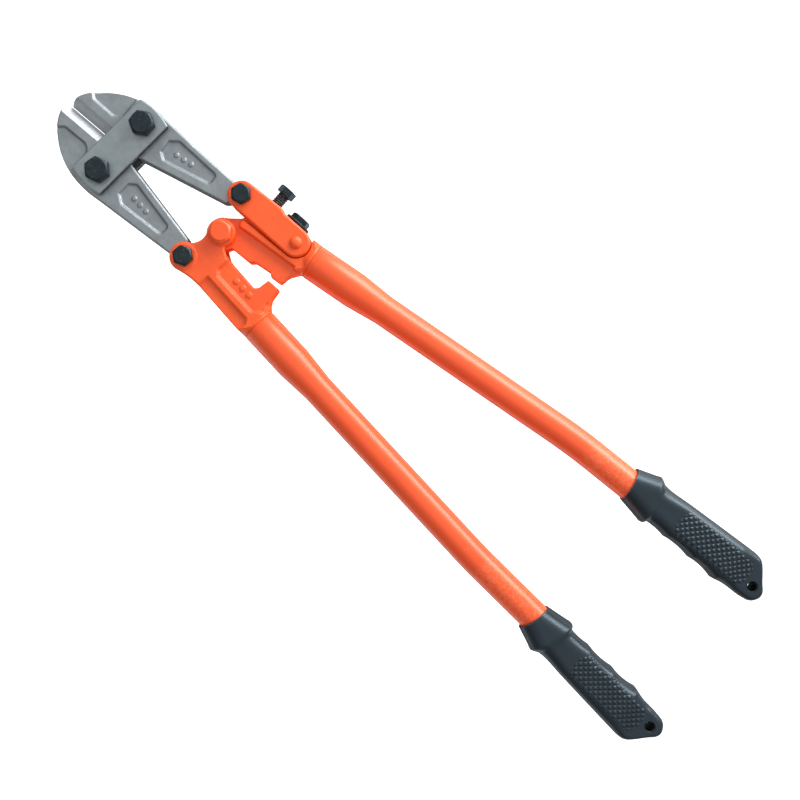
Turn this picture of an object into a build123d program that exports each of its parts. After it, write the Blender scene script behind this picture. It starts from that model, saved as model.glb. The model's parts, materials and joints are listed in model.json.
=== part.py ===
"""Bolt cutters, 600 mm class, lying flat with the jaws closed and the handles a little apart.

Frame: origin in the middle of the cutting nip, on the cutting line and at half thickness.
+X runs back from the jaws to the grips, +Y to the handle with the adjusting link, +Z out of
the side that carries the bolt heads. Lengths are millimetres, angles degrees.
"""
import os
from math import cos, hypot, radians, sin, tan

from build123d import *

os.makedirs("parts", exist_ok=True)

# Driving dimensions: mechanism
PIVOT_X = 125.0  # nip to centre pivot
UPPER_ANGLE = 5.8  # handles, from the cutting line
LOWER_ANGLE = -7.0
UPPER_TAIL = (-3.4, 30.0)  # tail pivots, in each handle's own frame
LOWER_TAIL = (-5.7, -30.7)
JAW_BOLT_Y = 22.5  # jaw bolts, from the cutting line
JAW_REACH = 84.4  # jaw bolt to tail pivot, along the cutting line
LINK_RIVET = (47.0, 23.7)  # in the upper handle's frame

# Driving dimensions: thicknesses, from the middle plane
JAW_HALF = 7.4
SLOT_HALF = 7.5
PLATE_OUT = 12.5
TONGUE_HALF = 7.2
RIB_HALF = 10.5
PIVOT_BOSS_OUT = 13.5
TAIL_BOSS_OUT = 13.1
THROUGH = 20.0  # half length of a cut that goes right through

# Driving dimensions: handles
TUBE_RADIUS = 11.0
TUBE_MOUTH_RADIUS = 13.0
TUBE_WALL = 2.5
SEAM_CHAMFER = 0.5  # on the collar and on the tube's mouth, where they meet
SPIGOT_LENGTH = 34.0
BEND_RADIUS = 400.0
GRIP_LENGTH = 122.8
HANGING_HOLE_RADIUS = 3.3

# Driving dimensions: fits
RUNNING_GAP = 0.05
THREAD_GAP = 0.45
OPEN_PIVOT_GAP = 3.5  # the upper jaw's tail floats this far on its bolt

# Driving dimensions: fasteners (shank radius, across flats, head height)
M8_RADIUS = 4.0
M10_RADIUS = 5.0
M8_FLATS = 13.0
M10_FLATS = 16.0
M8_HEAD = 5.3
M10_HEAD = 6.4
PIVOT_FLATS = 15.0
CROWN_SLOPE = 60.0  # of the cone that rounds a hex head's corners, from its axis
BOLT_CROWN = 0.46  # crown radius of a bolt head, as a share of its flats
NUT_CROWN = 0.48
TIP_CHAMFER = 0.8
RIVET_RADIUS = 3.5
RIVET_DOME = 4.75
RIVET_DOME_HEIGHT = 3.0
SCREW_RADIUS = 4.5
SCREW_FLATS = 11.5
SCREW_HEAD = 5.6
WASHER_RADIUS = 9.75
WASHER_THICK = 2.0
WASHER_GAP = 0.35
LOCK_HEAD = 4.2


def turned(point, degrees):
    """A point turned about the origin."""
    c, s = cos(radians(degrees)), sin(radians(degrees))
    return (point[0] * c - point[1] * s, point[0] * s + point[1] * c)


def handle_plane(degrees):
    """A handle's own frame: origin on the centre pivot, x along the handle."""
    x_dir = (cos(radians(degrees)), sin(radians(degrees)), 0)
    return Plane(origin=(PIVOT_X, 0, 0), x_dir=x_dir, z_dir=(0, 0, 1))


upper_plane = handle_plane(UPPER_ANGLE)
lower_plane = handle_plane(LOWER_ANGLE)
upper_tail_at = turned(UPPER_TAIL, UPPER_ANGLE)
lower_tail_at = turned(LOWER_TAIL, LOWER_ANGLE)
upper_tail_xy = (PIVOT_X + upper_tail_at[0], upper_tail_at[1])
lower_tail_xy = (PIVOT_X + lower_tail_at[0], lower_tail_at[1])
upper_bolt_xy = (upper_tail_xy[0] - JAW_REACH, JAW_BOLT_Y)
lower_bolt_xy = (lower_tail_xy[0] - JAW_REACH, -JAW_BOLT_Y)
rivet_at = turned(LINK_RIVET, UPPER_ANGLE)
rivet_xy = (PIVOT_X + rivet_at[0], rivet_at[1])
pivot_xy = (PIVOT_X, 0)


def hex_bolt(xy, seat_z, shank_radius, reach, flats, head, turn):
    """A hex bolt, head up, with the rim of its head turned to a cone and its tip chamfered."""
    seat = Plane(origin=(xy[0], xy[1], seat_z), z_dir=(0, 0, 1))
    crown = flats * BOLT_CROWN
    with BuildPart() as bolt:
        with BuildSketch(seat):
            RegularPolygon(radius=flats / 2, side_count=6, major_radius=False, rotation=turn)
        extrude(amount=head)
        with Locations(seat.offset(head / 2)):
            Cone(bottom_radius=crown + head * tan(radians(CROWN_SLOPE)), top_radius=crown,
                 height=head, mode=Mode.INTERSECT)
        with BuildSketch(seat):
            Circle(shank_radius)
        extrude(amount=-reach)
        chamfer(bolt.edges().group_by(Axis.Z)[0], TIP_CHAMFER)
    return bolt


def hex_nut(xy, seat_z, bore_radius, flats, height, turn):
    """A hex nut on the back of the tool, its free face turned to a cone."""
    seat = Plane(origin=(xy[0], xy[1], seat_z), x_dir=(1, 0, 0), z_dir=(0, 0, -1))
    crown = flats * NUT_CROWN
    with BuildPart() as nut:
        with BuildSketch(seat):
            RegularPolygon(radius=flats / 2, side_count=6, major_radius=False, rotation=turn)
        extrude(amount=height)
        with Locations(seat.offset(height / 2)):
            Cone(bottom_radius=crown + height * tan(radians(CROWN_SLOPE)), top_radius=crown,
                 height=height, mode=Mode.INTERSECT)
        with BuildSketch(seat):
            Circle(bore_radius)
        extrude(amount=height, mode=Mode.SUBTRACT)
    return nut


# Jaws: two forgings, mirrored in the cutting line. Their outer and inner edges differ by a
# millimetre or two. In a jaw's frame x runs forward from its bolt and y runs outward from the
# cutting line.
UPPER_LUG_RADIUS = 10.0
LOWER_LUG_RADIUS = 8.8
UPPER_JAW_EDGES = (-1.4, -1.4)  # how far the outer and inner edges lie outward of the mean
LOWER_JAW_EDGES = (1.4, 0.0)
NIP_GAP = 0.12  # each cutting edge from the cutting line, at its root and at its tip
NIP_GAP_TIP = 0.18
BLADE_START = 9.0  # where the cutting bevel starts, in front of the jaw bolt
BLADE_LENGTH = 50.0
BLADE_LAND = 0.35
BLADE_DEPTH = 7.0
RECESS_DEPTH = 1.8
RECESS_DRAFT = -40.0
JAW_EDGE = 1.2
PIP_SPOTS = [(-30, 21.4), (-36, 22.2), (-42, 23)]
PIP_RADIUS = 1.6
PIP_HEIGHT = 0.9
PIP_ROOT = 0.2  # how far a pip is sunk into the face below it


def build_jaw(bolt_x, side, tail_y, lug_radius, tail_bore, edge_shift):
    """A jaw: blank, tail lug, ground cutting edge, forged recesses, pips and two bores."""
    plane = Plane(origin=(bolt_x, 0, 0), x_dir=(-1, 0, 0), z_dir=(0, 0, -side))
    section = Plane(origin=(bolt_x - BLADE_START, 0, 0), x_dir=(0, side, 0), z_dir=(-1, 0, 0))
    tail = (-JAW_REACH, tail_y)
    outer, inner = edge_shift
    with BuildPart() as jaw:
        with BuildSketch(plane.offset(-JAW_HALF)):
            with BuildLine():
                Polyline((-80, 21 + inner), (-77, 18.6 + inner), (-12, 3.9 + inner), (10, 2.0),
                         (14, NIP_GAP), (50.4, NIP_GAP_TIP), (50.9, 4))
                ThreePointArc((50.9, 4), (47.4, 13 + outer / 2), (40.8, 20.7 + outer))
                ThreePointArc((40.8, 20.7 + outer), (30.5, 29 + outer), (19.5, 34.3 + outer))
                ThreePointArc((19.5, 34.3 + outer), (5, 37.4 + outer), (-11, 37.3 + outer))
                Polyline((-11, 37.3 + outer), (-41, 35.6 + outer), (-80, 34.0 + outer / 2),
                         (-80, 21 + inner))
            make_face()
        extrude(amount=2 * JAW_HALF)
        rim = jaw.faces().filter_by(Axis.Z).edges()
        chamfer([edge for edge in rim if abs(edge.center().Y) > JAW_BOLT_Y], JAW_EDGE)
        with BuildSketch(plane.offset(-JAW_HALF)):
            with Locations(tail):
                Circle(lug_radius)
        extrude(amount=2 * JAW_HALF)
        # the cutting edge is ground to a V from both faces
        for face in (1, -1):
            with BuildSketch(section):
                with BuildLine():
                    Polyline((-2, face * BLADE_LAND), (0.2, face * BLADE_LAND),
                             (BLADE_DEPTH, face * JAW_HALF), (BLADE_DEPTH, face * 9),
                             (-2, face * 9), close=True)
                make_face()
            extrude(amount=BLADE_LENGTH, mode=Mode.SUBTRACT)
        # both faces are forged lower outside the blade and between the plates and the tail
        for face in (1, -1):
            with BuildSketch(plane.offset(face * (JAW_HALF - RECESS_DEPTH))):
                with BuildLine():
                    Polyline((17.4, 18.5), (19.3, 16), (22, 14.6), (39.6, 14.8), (42.8, 17.5),
                             (49, 19), (49, 40), (17.4, 40), close=True)
                make_face()
            extrude(amount=face * (RECESS_DEPTH + 1), taper=RECESS_DRAFT, mode=Mode.SUBTRACT)
            with BuildSketch(plane.offset(face * (JAW_HALF - RECESS_DEPTH))):
                with BuildLine():
                    Polyline((-25.5, 13.4), (-59.5, 21.2), (-60.6, 22.8), (-60.2, 27.1),
                             (-58.6, 28), (-26, 29.3), (-20.6, 25.2), (-21, 16.6), close=True)
                make_face()
            extrude(amount=face * (RECESS_DEPTH + 1), taper=RECESS_DRAFT, mode=Mode.SUBTRACT)
            with BuildSketch(plane.offset(face * (JAW_HALF - RECESS_DEPTH - PIP_ROOT))):
                with Locations(*PIP_SPOTS):
                    Circle(PIP_RADIUS)
            extrude(amount=face * (PIP_HEIGHT + PIP_ROOT))
        with BuildSketch(plane.offset(-THROUGH)):
            with Locations((0, JAW_BOLT_Y)):
                Circle(M10_RADIUS + RUNNING_GAP)
            with Locations(tail):
                Circle(tail_bore)
        extrude(amount=2 * THROUGH, mode=Mode.SUBTRACT)
    return jaw


upper_jaw = build_jaw(upper_bolt_xy[0], 1, upper_tail_xy[1], UPPER_LUG_RADIUS,
                      M8_RADIUS + OPEN_PIVOT_GAP, UPPER_JAW_EDGES)
upper_jaw.part.label = "upper_jaw"
export_step(upper_jaw.part, "parts/upper_jaw.step")

lower_jaw = build_jaw(lower_bolt_xy[0], -1, -lower_tail_xy[1], LOWER_LUG_RADIUS,
                      M8_RADIUS + RUNNING_GAP, LOWER_JAW_EDGES)
lower_jaw.part.label = "lower_jaw"
export_step(lower_jaw.part, "parts/lower_jaw.step")

# Side plates: equal straps that hold the jaw bolts apart, a little skewed. In their frame x
# runs back and y runs from the lower jaw bolt to the upper one.
PLATE_FRONT = -14.6
PLATE_BACK = 12.6
PLATE_CORNER_Y = 33.8
PLATE_END_Y = 36.0
PLATE_SKEW = -1.3  # of the outline, about the middle between the bolts
PLATE_EDGE = 0.8
bolt_gap = Vector(upper_bolt_xy[0] - lower_bolt_xy[0], upper_bolt_xy[1] - lower_bolt_xy[1])
plate_middle = ((upper_bolt_xy[0] + lower_bolt_xy[0]) / 2, 0)
plate_length = hypot(bolt_gap.X, bolt_gap.Y)


def build_side_plate(inner_z, direction):
    """A strap with slightly bowed ends, its outer face chamfered all round."""
    plane = Plane(origin=(plate_middle[0], 0, inner_z), x_dir=(bolt_gap.Y, -bolt_gap.X, 0),
                  z_dir=(0, 0, 1))
    with BuildPart() as plate:
        with BuildSketch(plane.rotated((0, 0, PLATE_SKEW))):
            with BuildLine():
                Line((PLATE_FRONT, -PLATE_CORNER_Y), (PLATE_FRONT, PLATE_CORNER_Y))
                ThreePointArc((PLATE_FRONT, PLATE_CORNER_Y), (0, PLATE_END_Y),
                              (PLATE_BACK, PLATE_CORNER_Y))
                Line((PLATE_BACK, PLATE_CORNER_Y), (PLATE_BACK, -PLATE_CORNER_Y))
                ThreePointArc((PLATE_BACK, -PLATE_CORNER_Y), (0, -PLATE_END_Y),
                              (PLATE_FRONT, -PLATE_CORNER_Y))
            make_face()
        extrude(amount=direction * (PLATE_OUT - SLOT_HALF))
        outer = plate.faces().sort_by(Axis.Z)[-1 if direction > 0 else 0]
        chamfer(outer.outer_wire().edges(), PLATE_EDGE)
        with BuildSketch(plane.offset(-THROUGH)):
            with Locations((0, plate_length / 2), (0, -plate_length / 2)):
                Circle(M10_RADIUS + RUNNING_GAP)
        extrude(amount=2 * THROUGH, mode=Mode.SUBTRACT)
    return plate


front_side_plate = build_side_plate(SLOT_HALF, 1)
front_side_plate.part.label = "front_side_plate"
export_step(front_side_plate.part, "parts/front_side_plate.step")

rear_side_plate = build_side_plate(-SLOT_HALF, -1)
rear_side_plate.part.label = "rear_side_plate"
export_step(rear_side_plate.part, "parts/rear_side_plate.step")

# Bolts and nuts. Each nut stands on the back of the tool, with a little thread showing.
JAW_NUT_HEIGHT = 7.0
TAIL_NUT_HEIGHT = 6.0
THREAD_SHOWING = 1.2

bolt_plan = [
    # name, place, seat, shank, flats, head, nut height, turn
    ("upper_jaw", upper_bolt_xy, PLATE_OUT, M10_RADIUS, M10_FLATS, M10_HEAD, JAW_NUT_HEIGHT, 30),
    ("lower_jaw", lower_bolt_xy, PLATE_OUT, M10_RADIUS, M10_FLATS, M10_HEAD, JAW_NUT_HEIGHT, 15),
    ("upper_tail", upper_tail_xy, PLATE_OUT, M8_RADIUS, M8_FLATS, M8_HEAD, TAIL_NUT_HEIGHT, 12),
    ("lower_tail", lower_tail_xy, TAIL_BOSS_OUT, M8_RADIUS, M8_FLATS, M8_HEAD, TAIL_NUT_HEIGHT,
     20),
    ("pivot", pivot_xy, PIVOT_BOSS_OUT, M10_RADIUS, PIVOT_FLATS, M10_HEAD, TAIL_NUT_HEIGHT, 5),
]
for name, place, seat_z, shank, flats, head, nut_height, turn in bolt_plan:
    reach = 2 * seat_z + nut_height + THREAD_SHOWING
    bolt = hex_bolt(place, seat_z, shank, reach, flats, head, turn)
    bolt.part.label = f"{name}_bolt"
    export_step(bolt.part, f"parts/{name}_bolt.step")
    nut = hex_nut(place, -seat_z, shank + RUNNING_GAP, flats, nut_height, turn)
    nut.part.label = f"{name}_nut"
    export_step(nut.part, f"parts/{name}_nut.step")

# Adjusting link: a fork over the upper head and the upper jaw's tail. In its frame x runs
# from the tail bolt to the rivet.
LINK_HALF = 10.2
LINK_EDGE = 1.2
SCREW_BOSS_HALF = 11.8  # the outer edge swells to this at the adjusting screw
SCREW_BOSS_X = 27.5
SCREW_BOSS_END = 31.5
LINK_WEB_Y = 5.6
LINK_WEB_X = 14.5
SCREW_X = 20.5
SCREW_TOP = 25.6
LOCK_X = 41.0
LOCK_BORE_END = -7.0
LOCK_TIP_GAP = 1.6
WEB_BORE_LENGTH = 12.0
link_span = hypot(rivet_xy[0] - upper_tail_xy[0], rivet_xy[1] - upper_tail_xy[1])
link_dir = (rivet_xy[0] - upper_tail_xy[0], rivet_xy[1] - upper_tail_xy[1], 0)
link_plane = Plane(origin=(upper_tail_xy[0], upper_tail_xy[1], 0), x_dir=link_dir,
                   z_dir=(0, 0, 1))


def across_link(x, y):
    """A plane at a point of the link's frame, facing outward across the link."""
    return Plane(origin=link_plane.from_local_coords((x, y, 0)), x_dir=link_plane.x_dir,
                 z_dir=link_plane.y_dir)


with BuildPart() as adjusting_link:
    with BuildSketch(link_plane.offset(-PLATE_OUT)):
        with Locations((link_span / 2, 0)):
            SlotCenterToCenter(link_span, 2 * LINK_HALF)
        with BuildLine():
            Polyline((0, 0), (0, LINK_HALF), (SCREW_BOSS_X, SCREW_BOSS_HALF),
                     (SCREW_BOSS_END, LINK_HALF), (SCREW_BOSS_END, 0), close=True)
        make_face()
    extrude(amount=2 * PLATE_OUT)
    chamfer(adjusting_link.faces().filter_by(Axis.Z).edges(), LINK_EDGE)
    # the slot between the cheeks, closed by a web on the outer side
    with BuildSketch(link_plane.offset(-SLOT_HALF)):
        with BuildLine():
            Polyline((-15, -15), (70, -15), (70, LINK_WEB_Y), (LINK_WEB_X, LINK_WEB_Y),
                     (LINK_WEB_X, 15), (-15, 15), close=True)
        make_face()
    extrude(amount=2 * SLOT_HALF, mode=Mode.SUBTRACT)
    with BuildSketch(link_plane.offset(-PLATE_OUT)):
        Circle(M8_RADIUS + RUNNING_GAP)
        with Locations((link_span, 0)):
            Circle(RIVET_RADIUS + RUNNING_GAP)
    extrude(amount=2 * PLATE_OUT, mode=Mode.SUBTRACT)
    for bore_x, thread in ((SCREW_X, SCREW_RADIUS), (LOCK_X, M8_RADIUS)):
        with BuildSketch(across_link(bore_x, LINK_WEB_Y - 1)):
            Circle(thread + THREAD_GAP)
        extrude(amount=WEB_BORE_LENGTH, mode=Mode.SUBTRACT)
adjusting_link.part.label = "adjusting_link"
export_step(adjusting_link.part, "parts/adjusting_link.step")

# Necks: each head runs from a flat section into a round collar, which the tube butts against,
# and a spigot, which the tube slips over.
NECK_CORE_LENGTH = 9.5  # the cone that lifts the flat faces to the collar
NECK_CORE_RADIUS = 8.0
COLLAR_LENGTH = 1.5


def build_neck(plane, flat_x, low, high, half, seam_x, axis_y):
    """A neck in a handle's frame, from a section at flat_x to the seam, with its spigot."""
    flat = Plane(origin=plane.from_local_coords((flat_x, (low + high) / 2, 0)),
                 x_dir=plane.y_dir, z_dir=plane.x_dir)
    middle = Plane(origin=plane.from_local_coords((0, axis_y, 0)), x_dir=plane.x_dir,
                   z_dir=plane.z_dir)
    axis = Axis(middle.origin, middle.x_dir)
    collar_x = seam_x - COLLAR_LENGTH
    spigot_radius = TUBE_MOUTH_RADIUS - TUBE_WALL - RUNNING_GAP
    corner_radius = hypot((high - low) / 2, half)
    with BuildPart() as neck:
        with BuildSketch(flat):
            Rectangle(high - low, 2 * half)
        extrude(amount=collar_x - flat_x)
        with BuildSketch(middle):
            with BuildLine():
                Polyline((flat_x, 0), (flat_x, corner_radius), (collar_x, TUBE_MOUTH_RADIUS),
                         (collar_x, 0), close=True)
            make_face()
        revolve(axis=axis, mode=Mode.INTERSECT)
        with BuildSketch(middle):
            with BuildLine():
                Polyline((collar_x - NECK_CORE_LENGTH, 0),
                         (collar_x - NECK_CORE_LENGTH, NECK_CORE_RADIUS),
                         (collar_x, TUBE_MOUTH_RADIUS),
                         (seam_x - SEAM_CHAMFER, TUBE_MOUTH_RADIUS),
                         (seam_x, TUBE_MOUTH_RADIUS - SEAM_CHAMFER), (seam_x, spigot_radius),
                         (seam_x + SPIGOT_LENGTH, spigot_radius), (seam_x + SPIGOT_LENGTH, 0),
                         close=True)
            make_face()
        revolve(axis=axis)
    return neck


# Upper head: a forging with a thin tongue at the pivot that ends in a stop lug, a rib under
# the link, and a neck. x and y are in the upper handle's frame.
UPPER_TUBE_Y = 20.0
UPPER_SEAM_X = 63.0
TONGUE_RADIUS = 11.6
HEAD_TOP = 3.2  # the tongue's top edge, above the link's centre line
SHOULDER_GAP = 0.6  # round the link's rivet end
WEB_ROOM = 1.0  # above the tongue, under the link's web
RIB_EDGE = 1.0


def top_edge(x):
    """Height of the tongue's top edge, which runs parallel to the link at rest."""
    slope = (LINK_RIVET[1] - UPPER_TAIL[1]) / (LINK_RIVET[0] - UPPER_TAIL[0])
    return UPPER_TAIL[1] + HEAD_TOP + slope * (x - UPPER_TAIL[0])


shoulder = LINK_HALF + SHOULDER_GAP
rib_end = (LINK_RIVET[0] + shoulder * cos(radians(-110)),
           LINK_RIVET[1] + shoulder * sin(radians(-110)))
upper_neck = build_neck(upper_plane, 56, 7.5, 32.8, RIB_HALF, UPPER_SEAM_X, UPPER_TUBE_Y)

with BuildPart() as upper_rib:
    with BuildSketch(upper_plane.offset(-RIB_HALF)):
        with BuildLine():
            Polyline((7.6, 10.6), (6.3, 12), (6.3, 15.2), (7.6, 16.6), rib_end, (58.5, 32),
                     (58.5, 9), close=True)
        make_face()
    extrude(amount=2 * RIB_HALF)
    chamfer(upper_rib.faces().filter_by(Axis.Z).edges(), RIB_EDGE)

with BuildPart() as upper_head:
    with BuildSketch(upper_plane.offset(-TONGUE_HALF)):
        Circle(TONGUE_RADIUS)
        with BuildLine():
            Polyline((-3.5, 11), (5, 16.5), (10.5, 24), (12.5, top_edge(12.5)),
                     (58, top_edge(58)), (61, 20), (61, 7.6), (59, 5.2), (56, 1.8), (54.9, -0.5),
                     (53.3, -6.4), (45.8, -6.2), (43.3, -3.8), (30, -3.9), (27, -6.3),
                     (9.3, -4.8), (-3.5, 11))
        make_face()
    extrude(amount=2 * TONGUE_HALF)
    add(upper_rib.part)
    add(upper_neck.part)
    # room for the link's cheeks round the rivet
    for face in (1, -1):
        with BuildSketch(upper_plane.offset(face * TONGUE_HALF)):
            with Locations(LINK_RIVET):
                Circle(shoulder)
        extrude(amount=face * THROUGH, mode=Mode.SUBTRACT)
    # room for the link's web
    with BuildSketch(link_plane.offset(-THROUGH)):
        with Locations((link_span, 0)):
            Circle(shoulder)
        with Locations((link_span, HEAD_TOP + WEB_ROOM)):
            Rectangle(2 * shoulder, shoulder, align=(Align.CENTER, Align.MIN),
                      mode=Mode.INTERSECT)
    extrude(amount=2 * THROUGH, mode=Mode.SUBTRACT)
    with BuildSketch(upper_plane.offset(-THROUGH)):
        Circle(M10_RADIUS + RUNNING_GAP)
        with Locations(LINK_RIVET):
            Circle(RIVET_RADIUS + RUNNING_GAP)
    extrude(amount=2 * THROUGH, mode=Mode.SUBTRACT)
    # threaded hole for the lock bolt
    with BuildSketch(across_link(LOCK_X, LOCK_BORE_END)):
        Circle(M8_RADIUS + RUNNING_GAP)
    extrude(amount=THROUGH, mode=Mode.SUBTRACT)
upper_head.part.label = "upper_head"
export_step(upper_head.part, "parts/upper_head.step")

# Link rivet: domed both ends, fixed in the upper head
dome_sphere = (RIVET_DOME ** 2 + RIVET_DOME_HEIGHT ** 2) / (2 * RIVET_DOME_HEIGHT)
dome_centre = PLATE_OUT + RIVET_DOME_HEIGHT - dome_sphere
with BuildPart() as link_rivet:
    with Locations((rivet_xy[0], rivet_xy[1], dome_centre),
                   (rivet_xy[0], rivet_xy[1], -dome_centre)):
        Sphere(dome_sphere)
    with Locations((rivet_xy[0], rivet_xy[1], 0)):
        Cylinder(2 * RIVET_DOME, 2 * PLATE_OUT, mode=Mode.SUBTRACT)
        Cylinder(RIVET_RADIUS, 2 * PLATE_OUT)
link_rivet.part.label = "link_rivet"
export_step(link_rivet.part, "parts/link_rivet.step")

# Adjusting screw: its tip bears on the upper head and its thread runs in the link's web
SCREW_TIP_GAP = 0.1
SCREW_TURN = 10
LOCK_TURN = 18
WASHER_EDGE = 0.5
screw_length = SCREW_TOP - SCREW_HEAD - HEAD_TOP - SCREW_TIP_GAP
with BuildPart() as adjusting_screw:
    with BuildSketch(across_link(SCREW_X, HEAD_TOP + SCREW_TIP_GAP)):
        Circle(SCREW_RADIUS)
    extrude(amount=screw_length)
    screw_ends = adjusting_screw.edges().filter_by(GeomType.CIRCLE).sort_by(Axis.Y)
    chamfer(screw_ends[0], TIP_CHAMFER)
    with BuildSketch(across_link(SCREW_X, SCREW_TOP - SCREW_HEAD)):
        RegularPolygon(radius=SCREW_FLATS / 2, side_count=6, major_radius=False,
                       rotation=SCREW_TURN)
    extrude(amount=SCREW_HEAD)
    chamfer(adjusting_screw.edges().group_by(Axis.Y)[-1], TIP_CHAMFER)
adjusting_screw.part.label = "adjusting_screw"
export_step(adjusting_screw.part, "parts/adjusting_screw.step")

# Lock bolt and its coned washer, which clamp the link's web once the screw is set
with BuildPart() as lock_washer:
    with BuildSketch(across_link(LOCK_X, LINK_HALF + WASHER_GAP)):
        Circle(WASHER_RADIUS)
        Circle(M8_RADIUS + RUNNING_GAP, mode=Mode.SUBTRACT)
    extrude(amount=WASHER_THICK)
    rims = lock_washer.edges().filter_by(GeomType.CIRCLE).sort_by(SortBy.RADIUS)
    chamfer(rims[-2:], WASHER_EDGE)
lock_washer.part.label = "lock_washer"
export_step(lock_washer.part, "parts/lock_washer.step")

lock_seat = LINK_HALF + WASHER_GAP + WASHER_THICK
lock_crown = M8_FLATS * BOLT_CROWN
with BuildPart() as lock_bolt:
    with BuildSketch(across_link(LOCK_X, lock_seat)):
        RegularPolygon(radius=M8_FLATS / 2, side_count=6, major_radius=False,
                       rotation=LOCK_TURN)
    extrude(amount=LOCK_HEAD)
    with Locations(across_link(LOCK_X, lock_seat + LOCK_HEAD / 2)):
        Cone(bottom_radius=lock_crown + LOCK_HEAD * tan(radians(CROWN_SLOPE)),
             top_radius=lock_crown, height=LOCK_HEAD, mode=Mode.INTERSECT)
    with BuildSketch(across_link(LOCK_X, lock_seat)):
        Circle(M8_RADIUS)
    extrude(amount=-(lock_seat - LOCK_BORE_END - LOCK_TIP_GAP))
lock_bolt.part.label = "lock_bolt"
export_step(lock_bolt.part, "parts/lock_bolt.step")

# Lower head: a fork for the lower jaw's tail and the upper head's tongue, with two forged
# recesses on each face, a stop lug on the level of the inner recess, and a neck. x and y are in
# the lower handle's frame.
LOWER_TUBE_Y = -25.3
LOWER_SEAM_X = 64.0
PIVOT_EAR = 10.0
PIVOT_BOSS = 9.4
TAIL_EAR = 10.4
TAIL_BOSS = 9.0
LOWER_EDGE = 0.9
LOWER_RECESS = 2.4
LOWER_DRAFT = -42.0
LOWER_PIP_SPOTS = [(32, -15.6), (38.5, -15.7), (45, -15.8)]
LOWER_PIP_RADIUS = 1.8
LUG_WEB_HALF = 7.0

lower_neck = build_neck(lower_plane, 56.5, -38, -12.4, PLATE_OUT, LOWER_SEAM_X, LOWER_TUBE_Y)

with BuildPart() as lower_body:
    with BuildSketch(lower_plane.offset(-PLATE_OUT)):
        with BuildLine():
            ThreePointArc((-8.6, -5.1), (-6.2, -13.5), (-11.9, -22.4))
            Polyline((-11.9, -22.4), LOWER_TAIL, (-2.6, -40.6))
            ThreePointArc((-2.6, -40.6), (8, -37.8), (20, -37.2))
            Polyline((20, -37.2), (57.5, -38.2), (57.5, -9.5), (56.2, -3), (55.4, 1.2),
                     (54, 2.2), (46.6, 1.4), (45.8, -7), (43.3, -10.3), (15.5, -9.4),
                     (9.8, -6.3), (7.5, -3.5), (0, 0), (-8.6, -5.1))
        make_face()
    extrude(amount=2 * PLATE_OUT)
    chamfer(lower_body.faces().filter_by(Axis.Z).edges(), LOWER_EDGE)

with BuildPart() as lower_head:
    with BuildSketch(lower_plane.offset(-PLATE_OUT)):
        Circle(PIVOT_EAR)
        with Locations(LOWER_TAIL):
            Circle(TAIL_EAR)
    extrude(amount=2 * PLATE_OUT)
    chamfer(lower_head.faces().filter_by(Axis.Z).edges(), LOWER_EDGE)
    add(lower_body.part)
    add(lower_neck.part)
    # web in the corner between the stop lug and the neck
    with BuildSketch(lower_plane.offset(-LUG_WEB_HALF)):
        with BuildLine():
            Polyline((52, -20), (52, -3), (56.2, -3), (57.6, -6.8), (59.8, -10.2),
                     (62.5, -12.4), (62.5, -20), close=True)
        make_face()
    extrude(amount=2 * LUG_WEB_HALF)
    # fork slot
    with BuildSketch(lower_plane.offset(-SLOT_HALF)):
        with BuildLine():
            Polyline((-30, 20), (14.5, 20), (14.5, -7), (5.2, -17), (4.6, -50), (-30, -50),
                     close=True)
        make_face()
    extrude(amount=2 * SLOT_HALF, mode=Mode.SUBTRACT)
    for face in (1, -1):
        with BuildSketch(lower_plane.offset(face * (PLATE_OUT - LOWER_RECESS))):
            with BuildLine():
                Polyline((18.5, 8), (18.5, -18.6), (21.4, -21.4), (54.4, -21.4), (58.4, -17.8),
                         (63, -14.5), (63, 8), close=True)
            make_face()
            with BuildLine():
                Polyline((17.2, -29.4), (55.4, -29.6), (57, -32), (57, -50), (17.2, -50),
                         close=True)
            make_face()
        extrude(amount=face * (LOWER_RECESS + 1), taper=LOWER_DRAFT, mode=Mode.SUBTRACT)
        with BuildSketch(lower_plane.offset(face * (PLATE_OUT - LOWER_RECESS - PIP_ROOT))):
            with Locations(*LOWER_PIP_SPOTS):
                Circle(LOWER_PIP_RADIUS)
        extrude(amount=face * (PIP_HEIGHT + PIP_ROOT))
        # bosses under the pivot bolt and the tail bolt
        with BuildSketch(lower_plane.offset(face * SLOT_HALF)):
            Circle(PIVOT_BOSS)
        extrude(amount=face * (PIVOT_BOSS_OUT - SLOT_HALF))
        with BuildSketch(lower_plane.offset(face * SLOT_HALF)):
            with Locations(LOWER_TAIL):
                Circle(TAIL_BOSS)
        extrude(amount=face * (TAIL_BOSS_OUT - SLOT_HALF))
    with BuildSketch(lower_plane.offset(-THROUGH)):
        Circle(M10_RADIUS + RUNNING_GAP)
        with Locations(LOWER_TAIL):
            Circle(M8_RADIUS + RUNNING_GAP)
    extrude(amount=2 * THROUGH, mode=Mode.SUBTRACT)
lower_head.part.label = "lower_head"
export_step(lower_head.part, "parts/lower_head.step")

# Tubes and grips: the same shapes on both handles, mirrored. In their frame x runs along the
# tube from its seam and y runs inward, to the other handle.
BEND_X = 290.0
MOUTH_LENGTH = 36.0
TAPER_LENGTH = 25.0
TUBE_IN_GRIP = 96.0
TUBE_END_ROOM = 1.0

handles = [
    # name, plane, side, tube axis, seam, bend angle, front of grip
    ("upper", upper_plane, 1, UPPER_TUBE_Y, UPPER_SEAM_X, 4.4, 335.8),
    ("lower", lower_plane, -1, LOWER_TUBE_Y, LOWER_SEAM_X, 2.6, 346.4),
]


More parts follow.
